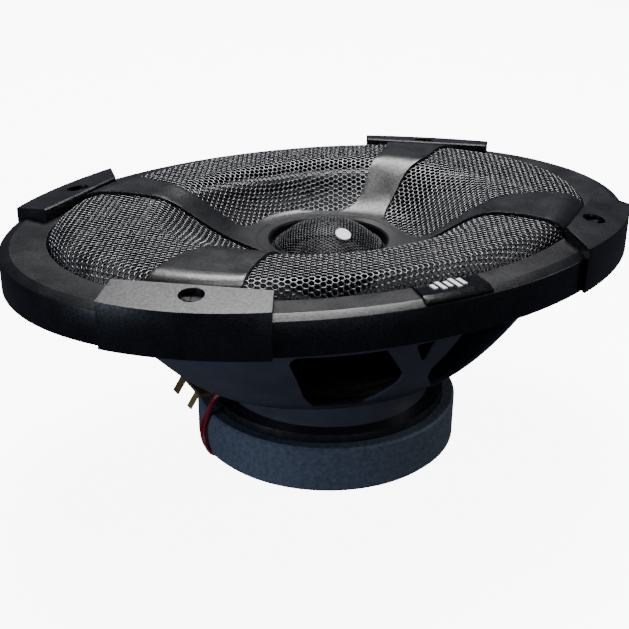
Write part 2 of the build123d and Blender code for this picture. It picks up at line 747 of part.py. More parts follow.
def crossover_capacitor():
    """Small film capacitor beside the terminal board that keeps bass away from the tweeter."""
    body = Pos(-44.0, 20.0, BOARD_TOP - 3.3) * Rot(0, 90, 0) * Cylinder(3.1, 13)
    return body


def wire(points, radius, bend):
    """A round wire along straight stretches joined by bends."""
    path = FilletPolyline(*points, radius=bend)
    start = Plane(path @ 0, z_dir=path % 0)
    return sweep(start * Circle(radius), path=path)


def tweeter_wire(side):
    """One of the pair that leaves the board, bows round the boot and climbs the pole's vent."""
    y = WIRE_PAIR_Y + side * WIRE_PAIR_HALF
    centre_y = side * WIRE_PAIR_HALF
    outside = -BOOT_R - 2.0
    channel = BOOT_BOTTOM + WIRE_R + 0.2
    return wire([
        (RIVET_X + 1.0, y, BOARD_BOTTOM - WIRE_R - GAP),
        (outside, y, BOARD_BOTTOM - 5.0),
        (outside, y, channel),
        (-30.0, y, channel),
        (0.0, centre_y, channel),
        (0.0, centre_y, CUP_TWEETER_FLOOR - 1.0),
    ], WIRE_R, 1.5)


def tinsel_lead(y):
    """Braided lead in a slack bend from the rivet to the back of the cone."""
    return wire([
        (RIVET_X, y, PLATFORM_Z + 1.5),
        (RIVET_X - 2.0, y, PLATFORM_Z + 6.0),
        (RIVET_X - 1.0, y, PLATFORM_Z + 10.5),
        (RIVET_X + 4.8, y, PLATFORM_Z + 13.2),
    ], TINSEL_R, 2.0)


# ---------------------------------------------------------------- build

save(basket(), "basket")
save(basket_rivets(), "basket_rivets")
save(top_plate(), "top_plate")
save(ring(MAGNET_R, MAGNET_INNER_R, MAGNET_BOTTOM, TOP_PLATE_BOTTOM), "magnet_ring")
save(yoke(), "yoke")
save(magnet_boot(), "magnet_boot")
save(ring(FORMER_R, FORMER_R - FORMER_THICK, FORMER_BOTTOM, FORMER_TOP), "coil_former")
save(voice_coil_winding(), "voice_coil")
save(spider(), "spider")
save(cone(), "cone")
save(surround(), "surround")
save(surround_gasket(), "surround_gasket")
save(grille_ring(), "grille_ring")
save(grille_mesh(), "grille_mesh")
save(swirl_frame(), "swirl_frame")
save(badge_plate(), "badge_plate")
save(badge_emblem(), "badge_emblem")
save(tweeter_post(), "tweeter_post")
save(tweeter_cup(), "tweeter_cup")
save(tweeter_yoke(), "tweeter_yoke")
save(tweeter_magnet(), "tweeter_magnet")
save(tweeter_pole_plate(), "tweeter_pole_plate")
save(tweeter_coil(), "tweeter_coil")
save(tweeter_dome(), "tweeter_dome")
save(tweeter_bezel(), "tweeter_bezel")
save(tweeter_grille(), "tweeter_grille")
save(tweeter_emblem(), "tweeter_emblem")
save(terminal_board(), "terminal_board")
save(terminal(TAB_Y, 3.8), "positive_terminal")
save(terminal(-TAB_Y, 2.8), "negative_terminal")
save(terminal_rivets(), "terminal_rivets")
save(crossover_capacitor(), "crossover_capacitor")
save(tweeter_wire(1), "tweeter_wire_positive")
save(tweeter_wire(-1), "tweeter_wire_negative")
save(tinsel_lead(TAB_Y), "tinsel_lead_positive")
save(tinsel_lead(-TAB_Y), "tinsel_lead_negative")
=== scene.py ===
import math

import bpy
import numpy as np
from mathutils import Matrix, Vector
from mathutils.bvhtree import BVHTree


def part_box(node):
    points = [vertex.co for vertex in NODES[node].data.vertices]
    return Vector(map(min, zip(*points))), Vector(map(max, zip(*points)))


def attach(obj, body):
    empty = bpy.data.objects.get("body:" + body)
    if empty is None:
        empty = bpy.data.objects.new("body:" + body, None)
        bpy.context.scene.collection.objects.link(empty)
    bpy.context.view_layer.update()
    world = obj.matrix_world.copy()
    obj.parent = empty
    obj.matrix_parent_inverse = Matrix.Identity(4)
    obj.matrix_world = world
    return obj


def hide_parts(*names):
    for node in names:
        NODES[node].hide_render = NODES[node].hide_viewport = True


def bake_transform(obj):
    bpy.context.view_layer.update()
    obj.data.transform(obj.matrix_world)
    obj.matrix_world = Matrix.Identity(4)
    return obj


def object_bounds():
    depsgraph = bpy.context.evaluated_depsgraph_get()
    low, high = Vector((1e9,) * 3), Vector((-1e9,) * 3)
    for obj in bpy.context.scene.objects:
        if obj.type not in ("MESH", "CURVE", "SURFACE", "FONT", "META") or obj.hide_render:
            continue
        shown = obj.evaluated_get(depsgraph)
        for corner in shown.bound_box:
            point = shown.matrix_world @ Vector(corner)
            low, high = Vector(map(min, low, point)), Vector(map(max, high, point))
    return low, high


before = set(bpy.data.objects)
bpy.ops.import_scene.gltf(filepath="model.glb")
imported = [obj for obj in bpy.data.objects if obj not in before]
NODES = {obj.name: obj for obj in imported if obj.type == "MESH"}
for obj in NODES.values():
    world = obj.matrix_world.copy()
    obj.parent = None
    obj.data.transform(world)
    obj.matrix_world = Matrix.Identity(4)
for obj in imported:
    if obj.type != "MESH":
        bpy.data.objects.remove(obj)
CAD_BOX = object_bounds()

MM = 0.001


def half_size(node):
    """Half extents of a CAD node along X and Y, and its top height, in millimetres."""
    low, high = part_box(node)
    return high.x / MM, high.y / MM, high.z / MM


# ------------------------------------------------------------------ driving dimensions, millimetres

RING_X, RING_Y = half_size("grille_ring")[:2]
SHEET_X, SHEET_Y, DISH_CREST = half_size("grille_mesh")
SHEET_INSET = 0.35          # the turned-down edge of the sheet stands this far inside the ring's opening
CAD_SHEET_GAP = 0.6         # from the CAD sheet's edge out to the opening the visible sheet is drawn in
OPENING_X = SHEET_X + CAD_SHEET_GAP - SHEET_INSET
OPENING_Y = SHEET_Y + CAD_SHEET_GAP - SHEET_INSET
DISH_R = 26.0               # radius where the dish starts, just under the hub
DISH_FLOOR = 2.2            # height of the sheet at the hub
DISH_BOWL_U = 0.57          # where the bowl meets the flat crest
DISH_CREST_U = 0.86         # where the crest turns down to the edge
DISH_EDGE = 12.5            # height of the sheet at the ring's opening
FIRST_U = 0.03              # fraction of the way from the hub to the ring where the sheet starts
SHEET_TURN_DOWN = 1.2       # depth of the edge turned down inside the ring
CELL_PITCH = 2.2
HOLE_SHARE = 0.8            # hole width as a share of the pitch
SHEET_THICK = 0.4
WEB_CROWN = 0.1             # how far the webs between holes stand proud
SMALLEST_PANEL = 40         # a group of fewer open cells isn't made into a panel
LAP_REACH = 1.1             # cells this many pitches under the frame are kept as solid metal
TWEETER_PITCH = 1.3
TWEETER_HOLE_SHARE = 0.76
TWEETER_SHEET_THICK = 0.5
TWEETER_WEB_CROWN = 0.08
TWEETER_RIM_INSET = 0.7     # the dome springs from this far inside the rim
TWEETER_RIM_RISE = 0.6      # and this far above the rim's foot
ROLL_THICK = 0.8
ROLL_LIP = 2.5              # width of the surround's inner lip
SPIDER_THICK = 0.5
SPIDER_WAVES = 4
RED_WIRE_R = 0.65
RED_WIRE_OFFSET = 0.7       # half the distance between the two red wires
BRAID_R = 0.5
HOOP_SEGMENTS = 160
OVAL_SEGMENTS = 240
WIRE_SIDES = 10


# ------------------------------------------------------------------ materials

class Surface:
    """A principled material whose colour, roughness and relief come from procedural layers."""

    def __init__(self, name, roughness, metallic=0.0, specular=0.5):
        self.material = bpy.data.materials.new(name)
        self.material.use_nodes = True
        self.tree = self.material.node_tree
        self.shader = self.tree.nodes["Principled BSDF"]
        self.shader.inputs["Roughness"].default_value = roughness
        self.shader.inputs["Metallic"].default_value = metallic
        self.shader.inputs["Specular IOR Level"].default_value = specular
        self.coords = self.tree.nodes.new("ShaderNodeTexCoord").outputs["Object"]
        self.relief = None

    def node(self, kind, **values):
        made = self.tree.nodes.new(kind)
        for key, value in values.items():
            made.inputs[key].default_value = value
        return made

    def join(self, out, into):
        self.tree.links.new(out, into)

    def noise(self, size_mm, detail=2.0, stretch=(1, 1, 1)):
        """Noise whose grains are about size_mm across."""
        mapping = self.node("ShaderNodeMapping", Scale=stretch)
        self.join(self.coords, mapping.inputs["Vector"])
        made = self.node("ShaderNodeTexNoise", Scale=1 / (size_mm * MM), Detail=detail, Roughness=0.55)
        self.join(mapping.outputs[0], made.inputs["Vector"])
        return made.outputs["Fac"]

    def waves(self, size_mm, axis, distortion=0.0):
        made = self.tree.nodes.new("ShaderNodeTexWave")
        made.bands_direction = axis
        made.inputs["Scale"].default_value = 0.314 / (size_mm * MM)
        made.inputs["Distortion"].default_value = distortion
        self.join(self.coords, made.inputs["Vector"])
        return made.outputs["Fac"]

    def spread(self, fac, low, high, start=0.3, end=0.7):
        """The factor's range from start to end, mapped to low..high."""
        made = self.node("ShaderNodeMapRange")
        made.inputs["From Min"].default_value = start
        made.inputs["From Max"].default_value = end
        made.inputs["To Min"].default_value = low
        made.inputs["To Max"].default_value = high
        self.join(fac, made.inputs["Value"])
        return made.outputs["Result"]

    def colour(self, dark, light, fac, start=0.3, end=0.7):
        """Base colour that runs from dark to light with the factor."""
        ramp = self.node("ShaderNodeValToRGB")
        ramp.color_ramp.elements[0].position = start
        ramp.color_ramp.elements[0].color = (*dark, 1)
        ramp.color_ramp.elements[1].position = end
        ramp.color_ramp.elements[1].color = (*light, 1)
        self.join(fac, ramp.inputs["Fac"])
        self.join(ramp.outputs["Color"], self.shader.inputs["Base Color"])

    def roughness(self, low, high, fac):
        self.join(self.spread(fac, low, high), self.shader.inputs["Roughness"])

    def gloss(self, low, high, fac):
        self.join(self.spread(fac, low, high), self.shader.inputs["Specular IOR Level"])

    def see_through_back(self):
        """Makes the side that faces away from the surface's normal invisible."""
        side = self.tree.nodes.new("ShaderNodeNewGeometry").outputs["Backfacing"]
        clear = self.tree.nodes.new("ShaderNodeBsdfTransparent")
        either = self.tree.nodes.new("ShaderNodeMixShader")
        self.join(side, either.inputs[0])
        self.join(self.shader.outputs[0], either.inputs[1])
        self.join(clear.outputs[0], either.inputs[2])
        self.join(either.outputs[0], self.tree.nodes["Material Output"].inputs["Surface"])

    def bump(self, height, depth_mm, strength=1.0):
        """Adds a relief layer of about depth_mm."""
        made = self.node("ShaderNodeBump", Strength=strength, Distance=depth_mm * MM)
        self.join(height, made.inputs["Height"])
        if self.relief is not None:
            self.join(self.relief, made.inputs["Normal"])
        self.relief = made.outputs["Normal"]
        self.join(self.relief, self.shader.inputs["Normal"])


def satin_plastic(name, dark, light, low, high):
    """Spark-eroded moulded black plastic: a fine grain that breaks up its gloss and stands slightly proud."""
    made = Surface(name, low)
    grain = made.noise(0.8, 2.0)
    made.colour(dark, light, made.noise(9.0, 2.0))
    made.roughness(low, high, made.noise(14.0, 2.0))
    made.gloss(0.17, 0.43, grain)
    made.bump(grain, 0.012)
    return made.material


def mesh_paint(name, dark, light):
    """Semi-gloss black paint over perforated steel, uneven in colour and gloss."""
    made = Surface(name, 0.24, 0.85, 0.6)
    made.colour(dark, light, made.noise(3.0, 3.0))
    made.roughness(0.16, 0.3, made.noise(0.6, 3.0))
    made.bump(made.noise(0.25, 2.0), 0.014)
    return made.material


def basket_paint():
    """Slate-black powder coat with orange peel."""
    made = Surface("basket_paint", 0.36)
    made.colour((0.034, 0.036, 0.048), (0.052, 0.055, 0.072), made.noise(14.0, 3.0))
    made.roughness(0.3, 0.42, made.noise(3.0, 3.0))
    made.bump(made.noise(1.1, 2.0), 0.035)
    return made.material


def boot_rubber():
    """Slate rubber, matt and faintly mottled."""
    made = Surface("boot_rubber", 0.55)
    made.colour((0.045, 0.058, 0.082), (0.1, 0.12, 0.155), made.noise(1.6, 5.0))
    made.roughness(0.5, 0.68, made.noise(1.2, 4.0))
    made.bump(made.noise(0.5, 3.0), 0.05)
    return made.material


def black_steel():
    made = Surface("black_steel", 0.28)
    made.colour((0.005, 0.005, 0.006), (0.01, 0.01, 0.012), made.noise(5.0, 3.0))
    made.roughness(0.26, 0.4, made.noise(2.0, 3.0))
    made.bump(made.noise(0.8, 2.0), 0.015)
    return made.material


def plated_steel():
    """Zinc plate with faint turning marks."""
    made = Surface("plated_steel", 0.35, 1.0)
    made.colour((0.42, 0.42, 0.44), (0.6, 0.6, 0.6), made.noise(6.0, 4.0))
    made.roughness(0.25, 0.45, made.noise(1.0, 4.0, (1, 1, 8)))
    made.bump(made.noise(0.5, 2.0), 0.01)
    return made.material


def ferrite():
    made = Surface("ferrite", 0.6)
    made.colour((0.03, 0.03, 0.034), (0.075, 0.075, 0.08), made.noise(1.0, 5.0))
    made.bump(made.noise(0.3, 3.0), 0.03)
    return made.material


def copper_wire():
    """Enamelled turns of wire, wound round the axis."""
    made = Surface("copper_wire", 0.28, 1.0)
    turns = made.waves(0.32, "Z")
    made.colour((0.35, 0.12, 0.05), (0.78, 0.34, 0.16), turns)
    made.bump(turns, 0.12)
    return made.material


def former_film():
    made = Surface("former_film", 0.35)
    made.colour((0.012, 0.01, 0.008), (0.028, 0.022, 0.016), made.noise(4.0, 3.0))
    made.bump(made.noise(1.5, 2.0), 0.02)
    return made.material


def woven_cloth():
    """Resin-dipped spider cloth: two sets of threads across each other."""
    made = Surface("woven_cloth", 0.75)
    warp = made.waves(0.7, "X")
    weft = made.waves(0.7, "Y")
    thread = made.node("ShaderNodeMath")
    thread.operation = "MAXIMUM"
    made.join(warp, thread.inputs[0])
    made.join(weft, thread.inputs[1])
    made.colour((0.006, 0.006, 0.008), (0.03, 0.03, 0.036), thread.outputs[0])
    made.bump(thread.outputs[0], 0.12)
    return made.material


def cone_pulp():
    made = Surface("cone_pulp", 0.6)
    made.colour((0.018, 0.018, 0.02), (0.04, 0.04, 0.043), made.noise(1.6, 6.0, (1, 1, 3)))
    made.roughness(0.5, 0.7, made.noise(1.0, 3.0))
    made.bump(made.noise(0.8, 5.0), 0.08)
    return made.material


def butyl_rubber():
    made = Surface("butyl_rubber", 0.42)
    made.colour((0.012, 0.012, 0.013), (0.022, 0.022, 0.023), made.noise(5.0, 3.0))
    made.roughness(0.36, 0.5, made.noise(2.0, 3.0))
    made.bump(made.noise(0.6, 2.0), 0.02)
    return made.material


def gloss_lacquer():
    """Deep black with a slightly uneven gloss."""
    made = Surface("gloss_lacquer", 0.12, specular=0.25)
    made.colour((0.002, 0.002, 0.0025), (0.005, 0.005, 0.006), made.noise(4.0, 3.0))
    made.roughness(0.1, 0.2, made.noise(1.0, 4.0))
    return made.material


def badge_print():
    made = Surface("badge_print", 0.35)
    made.colour((0.7, 0.7, 0.71), (0.86, 0.86, 0.87), made.noise(0.8, 3.0))
    made.bump(made.noise(0.3, 2.0), 0.01)
    return made.material


def turned_aluminium():
    made = Surface("turned_aluminium", 0.3, 1.0)
    marks = made.noise(0.5, 3.0, (0.1, 0.1, 4))
    made.colour((0.5, 0.5, 0.52), (0.72, 0.72, 0.74), marks)
    made.bump(marks, 0.015)
    return made.material


def silk():
    made = Surface("silk", 0.5)
    weave = made.waves(0.35, "DIAGONAL")
    made.colour((0.015, 0.015, 0.017), (0.035, 0.035, 0.038), weave)
    made.bump(weave, 0.03)
    return made.material


def phenolic_board():
    made = Surface("phenolic_board", 0.55)
    made.colour((0.05, 0.025, 0.012), (0.11, 0.06, 0.03), made.noise(2.0, 5.0, (6, 1, 1)))
    made.bump(made.noise(0.7, 4.0), 0.02)
    return made.material


def gold_plate():
    made = Surface("gold_plate", 0.24, 1.0)
    made.colour((0.62, 0.4, 0.12), (0.86, 0.62, 0.26), made.noise(1.8, 4.0))
    made.roughness(0.16, 0.34, made.noise(0.6, 3.0))
    made.bump(made.noise(0.4, 2.0), 0.01)
    return made.material


def shrink_sleeve():
    made = Surface("shrink_sleeve", 0.3)
    made.colour((0.2, 0.03, 0.015), (0.32, 0.05, 0.03), made.noise(2.0, 3.0))
    made.bump(made.noise(1.0, 3.0), 0.04)
    return made.material


def red_insulation():
    """Soft vinyl wire insulation."""
    made = Surface("red_insulation", 0.34)
    made.colour((0.16, 0.006, 0.01), (0.3, 0.014, 0.02), made.noise(1.6, 3.0))
    made.roughness(0.26, 0.44, made.noise(0.8, 3.0))
    made.bump(made.noise(0.5, 2.0), 0.02)
    return made.material


def tinsel_braid():
    made = Surface("tinsel_braid", 0.38, 1.0)
    braid = made.waves(0.5, "DIAGONAL", 1.0)
    made.colour((0.3, 0.2, 0.1), (0.75, 0.58, 0.36), braid)
    made.bump(braid, 0.08)
    return made.material


FRAME_PLASTIC = satin_plastic("frame_plastic", (0.004, 0.004, 0.005), (0.008, 0.008, 0.0095), 0.26, 0.36)
RING_PLASTIC = satin_plastic("ring_plastic", (0.003, 0.003, 0.0038), (0.006, 0.006, 0.0075), 0.28, 0.38)
DARK_PLASTIC = satin_plastic("tweeter_plastic", (0.003, 0.003, 0.004), (0.006, 0.006, 0.007), 0.35, 0.5)

FINISH = {
    "basket": basket_paint(),
    "basket_rivets": plated_steel(),
    "top_plate": black_steel(),
    "magnet_ring": ferrite(),
    "yoke": bpy.data.materials["plated_steel"],
    "magnet_boot": boot_rubber(),
    "coil_former": former_film(),
    "voice_coil": copper_wire(),
    "cone": cone_pulp(),
    "surround_gasket": butyl_rubber(),
    "grille_ring": RING_PLASTIC,
    "swirl_frame": FRAME_PLASTIC,
    "badge_plate": gloss_lacquer(),
    "badge_emblem": badge_print(),
    "tweeter_post": turned_aluminium(),
    "tweeter_cup": DARK_PLASTIC,
    "tweeter_yoke": bpy.data.materials["plated_steel"],
    "tweeter_magnet": bpy.data.materials["plated_steel"],
    "tweeter_pole_plate": bpy.data.materials["plated_steel"],
    "tweeter_coil": bpy.data.materials["copper_wire"],
    "tweeter_dome": silk(),
    "tweeter_bezel": DARK_PLASTIC,
    "tweeter_emblem": bpy.data.materials["badge_print"],
    "terminal_board": phenolic_board(),
    "positive_terminal": gold_plate(),
    "negative_terminal": bpy.data.materials["gold_plate"],
    "terminal_rivets": bpy.data.materials["gold_plate"],
    "crossover_capacitor": shrink_sleeve(),
}
MESH_PAINT = mesh_paint("mesh_paint", (0.062, 0.062, 0.065), (0.14, 0.14, 0.144))
FINE_MESH_PAINT = mesh_paint("fine_mesh_paint", (0.022, 0.022, 0.024), (0.055, 0.055, 0.058))
SPIDER_CLOTH = woven_cloth()
WIRE_RED = red_insulation()
TINSEL = tinsel_braid()


for node_name, node_material in FINISH.items():
    for slot in NODES[node_name].material_slots:
        slot.material = node_material


# ------------------------------------------------------------------ mesh helpers

def new_mesh(name, points_mm, faces, material, smooth=True):
    """A mesh object from millimetre points and index faces."""
    data = bpy.data.meshes.new(name)
    data.from_pydata((np.asarray(points_mm, float) * MM).tolist(), [], faces)
    data.validate()
    data.update()
    if smooth:
        data.polygons.foreach_set("use_smooth", [True] * len(data.polygons))
    made = bpy.data.objects.new(name, data)
    bpy.context.scene.collection.objects.link(made)
    data.materials.append(material)
    return made


def hex_centres(pitch, reach_x, reach_y):
    """Centres of a hexagonal lattice that covers a rectangle round the origin."""
    rows = int(reach_y / (pitch * math.sqrt(3) / 2)) + 2
    columns = int(reach_x / pitch) + 2
    centres = []
    for row in range(-rows, rows + 1):
        shift = pitch / 2 if row % 2 else 0.0
        for column in range(-columns, columns + 1):
            centres.append((column * pitch + shift, row * pitch * math.sqrt(3) / 2))
    return np.array(centres)


def cell_rim(centres, pitch):
    """Twelve points round each cell: its corners and the middles of its sides."""
    angles = np.arange(12) * math.pi / 6
    radius = np.where(np.arange(12) % 2 == 0, pitch / 2, pitch / math.sqrt(3))
    ring = np.stack([radius * np.cos(angles), radius * np.sin(angles)], 1)
    return centres[:, None, :] + ring[None, :, :]


def cell_hole(centres, pitch, share):
    """Twelve points round each hole, between a circle and a hexagon."""
    angles = np.arange(12) * math.pi / 6
    hexagon = np.where(np.arange(12) % 2 == 0, 1.0, 2 / math.sqrt(3))
    radius = share * pitch / 2 * (0.45 + 0.55 * hexagon)
    ring = np.stack([radius * np.cos(angles), radius * np.sin(angles)], 1)
    return centres[:, None, :] + ring[None, :, :]


def perforated_sheet(name, centres, solid, pitch, share, place, thick, crown, material):
    """A closed perforated sheet. place(flat, depth) gives a point of the sheet at a depth under its face;
    cells marked solid keep their metal."""
    flat_rim = cell_rim(centres, pitch).reshape(-1, 2)
    keys, where = np.unique(np.round(flat_rim, 3), axis=0, return_inverse=True)
    rim = where.reshape(-1, 12)
    count = len(keys)
    flat_hole = cell_hole(centres, pitch, share).reshape(-1, 2)
    open_cells = np.flatnonzero(~solid)
    hole_flat = flat_hole.reshape(-1, 12, 2)[open_cells].reshape(-1, 2)
    hole = np.arange(len(hole_flat)).reshape(-1, 12)
    points = np.concatenate([
        place(keys, -crown), place(keys, thick), place(hole_flat, 0.0), place(hole_flat, thick),
    ])
    bottom = count
    hole_top = 2 * count
    hole_low = 2 * count + len(hole_flat)
    faces = []
    for k in range(12):
        following = (k + 1) % 12
        rim_a, rim_b = rim[open_cells, k], rim[open_cells, following]
        hole_a, hole_b = hole[:, k], hole[:, following]
        faces += np.stack([rim_a, rim_b, hole_top + hole_b, hole_top + hole_a], 1).tolist()
        top_a, top_b = hole_top + hole_a, hole_top + hole_b
        low_a, low_b = hole_low + hole_a, hole_low + hole_b
        faces += np.stack([top_a, top_b, low_b, low_a], 1).tolist()
        faces += np.stack([bottom + rim_b, bottom + rim_a, low_a, low_b], 1).tolist()
    for cell in np.flatnonzero(solid):
        faces.append(rim[cell].tolist())
        faces.append((bottom + rim[cell][::-1]).tolist())
    sides = np.concatenate([np.stack([rim[:, k], rim[:, (k + 1) % 12]], 1) for k in range(12)])
    directed = {tuple(side) for side in sides.tolist()}
    for a, b in directed:
        if (b, a) not in directed:
            faces.append([b, a, bottom + a, bottom + b])
    return new_mesh(name, points, faces, material)


def oval_hoop(name, path, material, segments=OVAL_SEGMENTS):
    """A closed hoop whose section points are (half_x, half_y, z) in millimetres."""
    angles = np.arange(segments) * 2 * math.pi / segments
    points = [(x * math.cos(a), y * math.sin(a), z) for a in angles for x, y, z in path]
    size = len(path)
    faces = []
    for s in range(segments):
        for k in range(size):
            a = s * size + k
            b = s * size + (k + 1) % size
            shift = ((s + 1) % segments - s) * size
            faces.append([a, a + shift, b + shift, b])
    return new_mesh(name, points, faces, material)


def turned_hoop(name, path, material):
    """A closed hoop turned about the axis from (radius, z) points in millimetres."""
    return oval_hoop(name, [(r, r, z) for r, z in path], material, HOOP_SEGMENTS)


# ------------------------------------------------------------------ the dished grille

def dish_height(u):
    """Height of the grille's face against the fraction u from the hub (0) to the ring's opening (1)."""
    climb = (1 - np.cos(np.pi * np.clip(u / DISH_BOWL_U, 0, 1))) / 2
    bowl = DISH_FLOOR + (DISH_CREST - DISH_FLOOR) * climb
    v = np.clip((u - DISH_CREST_U) / (1 - DISH_CREST_U), 0, 1)
    shoulder = DISH_CREST - (DISH_CREST - DISH_EDGE) * (1 - np.sqrt(1 - v * v))
    return np.where(u < DISH_CREST_U, bowl, shoulder)


LENGTH_X = OPENING_X - SHEET_INSET - DISH_R
LENGTH_Y = OPENING_Y - SHEET_INSET - DISH_R


def dish_meridian(flat):
    """For points of the flat sheet: the meridian's angle, its plan length and the distance along it."""
    low = np.full(len(flat), -0.4)
    high = np.full(len(flat), 2.0)
    for _ in range(40):
        middle = (low + high) / 2
        across_x = flat[:, 0] / (DISH_R + LENGTH_X * middle)
        across_y = flat[:, 1] / (DISH_R + LENGTH_Y * middle)
        outside = across_x ** 2 + across_y ** 2
        low = np.where(outside > 1, middle, low)
        high = np.where(outside > 1, high, middle)
    w = (low + high) / 2
    angle = np.arctan2(flat[:, 1] / (DISH_R + LENGTH_Y * w), flat[:, 0] / (DISH_R + LENGTH_X * w))
    length = np.hypot(LENGTH_X * np.cos(angle), LENGTH_Y * np.sin(angle))
    return angle, length, w * length


def dish_fraction(length, distance, steps=400):
    """Fraction u reached after a distance along the curved meridian, and what is left past the edge."""
    edges = np.sin(np.linspace(0, math.pi / 2, steps + 1))
    heights = dish_height(edges)
    u = np.clip(distance / length, -0.2, 0)
    run = np.zeros(len(length))
    for k in range(steps):
        step = np.hypot(length * (edges[k + 1] - edges[k]), heights[k + 1] - heights[k])
        inside = (distance > run) & (distance <= run + step)
        u = np.where(inside, edges[k] + (edges[k + 1] - edges[k]) * (distance - run) / step, u)
        run = run + step
    beyond = np.maximum(distance - run, 0)
    return np.where(beyond > 0, 1.0, u), beyond


def dish_surface(flat):
    angle, length, distance = dish_meridian(flat)
    u, beyond = dish_fraction(length, distance)
    u = np.maximum(u, FIRST_U)
    x = (DISH_R + LENGTH_X * u) * np.cos(angle)
    y = (DISH_R + LENGTH_Y * u) * np.sin(angle)
    return np.stack([x, y, dish_height(u) - beyond], 1)


def dish_place(flat, depth):
    """The sheet's point under a flat point, pushed in by depth along the surface's own normal."""
    step = 0.05
    here = dish_surface(flat)
    along_x = dish_surface(flat + [step, 0]) - dish_surface(flat - [step, 0])
    along_y = dish_surface(flat + [0, step]) - dish_surface(flat - [0, step])
    normal = np.cross(along_x, along_y)
    size = np.linalg.norm(normal, axis=1, keepdims=True)
    normal = np.where(size > 1e-6, normal / np.maximum(size, 1e-9), [0.0, 0.0, 1.0])
    return here - depth * normal


def hidden_under(node, points):
    """True where a node's metal lies straight above a point."""
    data = NODES[node].data
    tree = BVHTree.FromPolygons([v.co for v in data.vertices], [p.vertices for p in data.polygons])
    up = Vector((0, 0, 1))
    return np.array([tree.ray_cast(Vector(p) * MM, up)[0] is not None for p in points.tolist()])


def panel_of(centres, covered):
    """Number of the panel each cell is in: open cells that touch share a number; covered cells get -1."""
    row_step = CELL_PITCH * math.sqrt(3) / 2
    rows = np.round(centres[:, 1] / row_step).astype(int)
    halves = np.round(centres[:, 0] / (CELL_PITCH / 2)).astype(int)
    where = {key: k for k, key in enumerate(zip(halves.tolist(), rows.tolist()))}
    panel = np.full(len(centres), -1)
    count = 0
    for first in range(len(centres)):
        if covered[first] or panel[first] >= 0:
            continue
        panel[first] = count
        waiting = [first]
        while waiting:
            k = waiting.pop()
            for across, up in ((2, 0), (-2, 0), (1, 1), (-1, 1), (1, -1), (-1, -1)):
                near = where.get((halves[k] + across, rows[k] + up))
                if near is not None and not covered[near] and panel[near] < 0:
                    panel[near] = count
                    waiting.append(near)
        count += 1
    return panel, count


def build_grille_mesh():
    """The perforated panels between the arms; each reaches a little way under the frame."""
    centres = hex_centres(CELL_PITCH, RING_X, RING_Y)
    length, distance = dish_meridian(centres)[1:]
    beyond = dish_fraction(length, distance)[1]
    centres = centres[(distance / length > FIRST_U) & (beyond < SHEET_TURN_DOWN)]
    corners = cell_rim(centres, CELL_PITCH)[:, 1::2].reshape(-1, 2)
    covered = hidden_under("swirl_frame", dish_surface(corners)).reshape(-1, 6).all(axis=1)
    panel, count = panel_of(centres, covered)
    for number in range(count):
        cells = centres[panel == number]
        if len(cells) < SMALLEST_PANEL:
            continue
        gap = np.linalg.norm(centres[covered][:, None, :] - cells[None, :, :], axis=2).min(axis=1)
        lap = centres[covered][gap < CELL_PITCH * LAP_REACH]
        solid = np.arange(len(cells) + len(lap)) >= len(cells)
        sheet = perforated_sheet(f"grille_panel_{number + 1}", np.concatenate([cells, lap]), solid,
                                 CELL_PITCH, HOLE_SHARE, dish_place, SHEET_THICK, WEB_CROWN, MESH_PAINT)
        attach(sheet, "root")
        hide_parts("grille_mesh")


def build_tweeter_grille():
    """Fine domed mesh in a rolled rim."""
    low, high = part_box("tweeter_grille")
    rim_r = high.x / MM
    base_z = low.z / MM
    apex = high.z / MM
    dome_r = rim_r - TWEETER_RIM_INSET
    rise = apex - base_z - TWEETER_RIM_RISE
    sphere_r = (dome_r ** 2 + rise ** 2) / (2 * rise)
    centre_z = apex - sphere_r

    def place(flat, depth):
        arc = np.linalg.norm(flat, axis=1) / sphere_r
        bearing = np.arctan2(flat[:, 1], flat[:, 0])
        radius = sphere_r - depth
        ring = radius * np.sin(arc)
        return np.stack([ring * np.cos(bearing), ring * np.sin(bearing), centre_z + radius * np.cos(arc)], 1)

    centres = hex_centres(TWEETER_PITCH, dome_r + 4, dome_r + 4)
    reach = sphere_r * math.asin(dome_r / sphere_r)
    centres = centres[np.linalg.norm(centres, axis=1) < reach - TWEETER_PITCH * 0.35]
    solid = np.zeros(len(centres), bool)
    dome = perforated_sheet("tweeter_grille_perforated", centres, solid, TWEETER_PITCH, TWEETER_HOLE_SHARE,
                            place, TWEETER_SHEET_THICK, TWEETER_WEB_CROWN, FINE_MESH_PAINT)
    rim_path = [
        (rim_r - 2.1, base_z + 0.5), (rim_r - 1.5, base_z), (rim_r - 0.2, base_z), (rim_r, base_z + 0.25),
        (rim_r, base_z + 0.9), (rim_r - 0.4, base_z + 1.35), (rim_r - 1.1, base_z + 1.3),
        (rim_r - 1.9, base_z + 1.15),
    ]
    rim = turned_hoop("tweeter_grille_rim", rim_path, FINE_MESH_PAINT)
    rim.parent = dome
    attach(dome, "root")
    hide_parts("tweeter_grille")


build_grille_mesh()
build_tweeter_grille()


# ------------------------------------------------------------------ soft suspension

def follow_cone(piece):
    """Bakes the piece's placement into its mesh."""
    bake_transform(piece)


